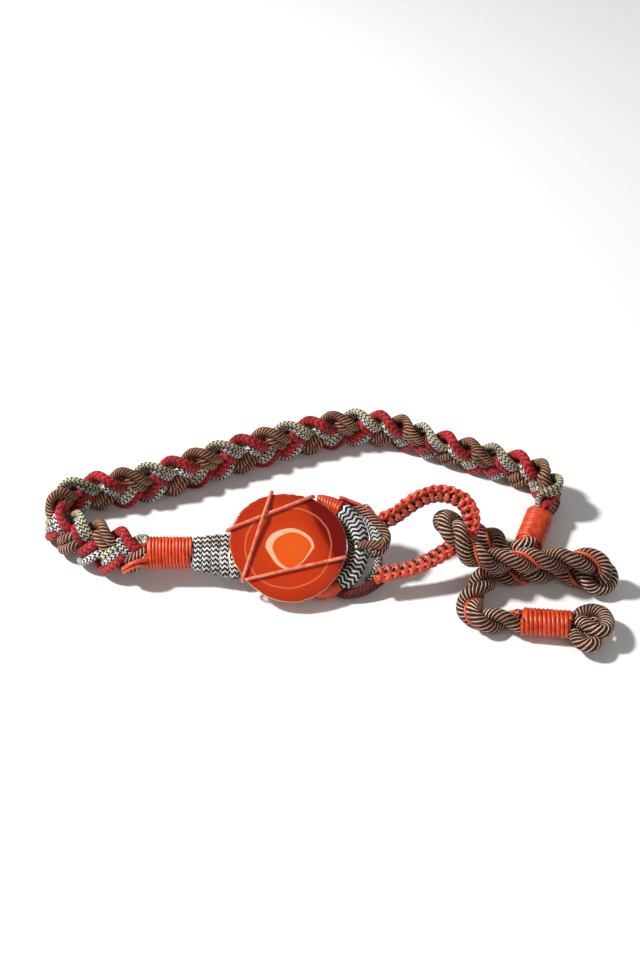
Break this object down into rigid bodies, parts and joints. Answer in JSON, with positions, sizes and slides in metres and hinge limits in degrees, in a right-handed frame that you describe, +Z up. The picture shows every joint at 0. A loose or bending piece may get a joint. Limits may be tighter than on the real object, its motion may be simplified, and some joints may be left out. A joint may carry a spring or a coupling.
{
  "type": "rope belt",
  "caption": "Plaited rope belt with an agate slice, lace windings, a knotted fastening loop and a twisted tail passed through it.",
  "frame": {"origin": "on the surface that the belt lies on, under the middle of its whole box", "axes": "+X along the belt's length as it lies, towards the tail; -Y towards the stone's side; +Z up"},
  "size_m": [0.4174, 0.2202, 0.058],
  "materials": {
    "rust_cord": "woven cord, rust brown with pale stripes",
    "cream_cord": "woven cord, cream and black chevrons",
    "crimson_cord": "plaited cord, crimson",
    "zebra_cord": "woven cord, black and white chevrons",
    "lace_winding": "satin leather lace, orange red",
    "thin_lace": "satin leather lace, salmon",
    "agate": "polished, banded orange red"
  },
  "bodies": {
    "root": {"whipping_front": "lace_winding", "wrap_panel": "zebra_cord", "core_panel": "zebra_cord", "agate_slice": "agate", "lace_side": "thin_lace", "lace_upper": "thin_lace", "lace_lower": "thin_lace", "lace_stub_top": "lace_winding", "collar_cord_upper": "zebra_cord", "collar_cord_lower": "zebra_cord", "lace_stub_bottom": "lace_winding", "collar_cord_outer": "rust_cord", "macrame_loop": "lace_winding", "braid_strand_brown": "rust_cord", "braid_strand_cream": "cream_cord", "braid_strand_red": "crimson_cord", "whipping_back": "lace_winding", "tail_rope": "rust_cord", "whipping_tail": "lace_winding", "tail_knot": "rust_cord"}
  },
  "joints": []
}
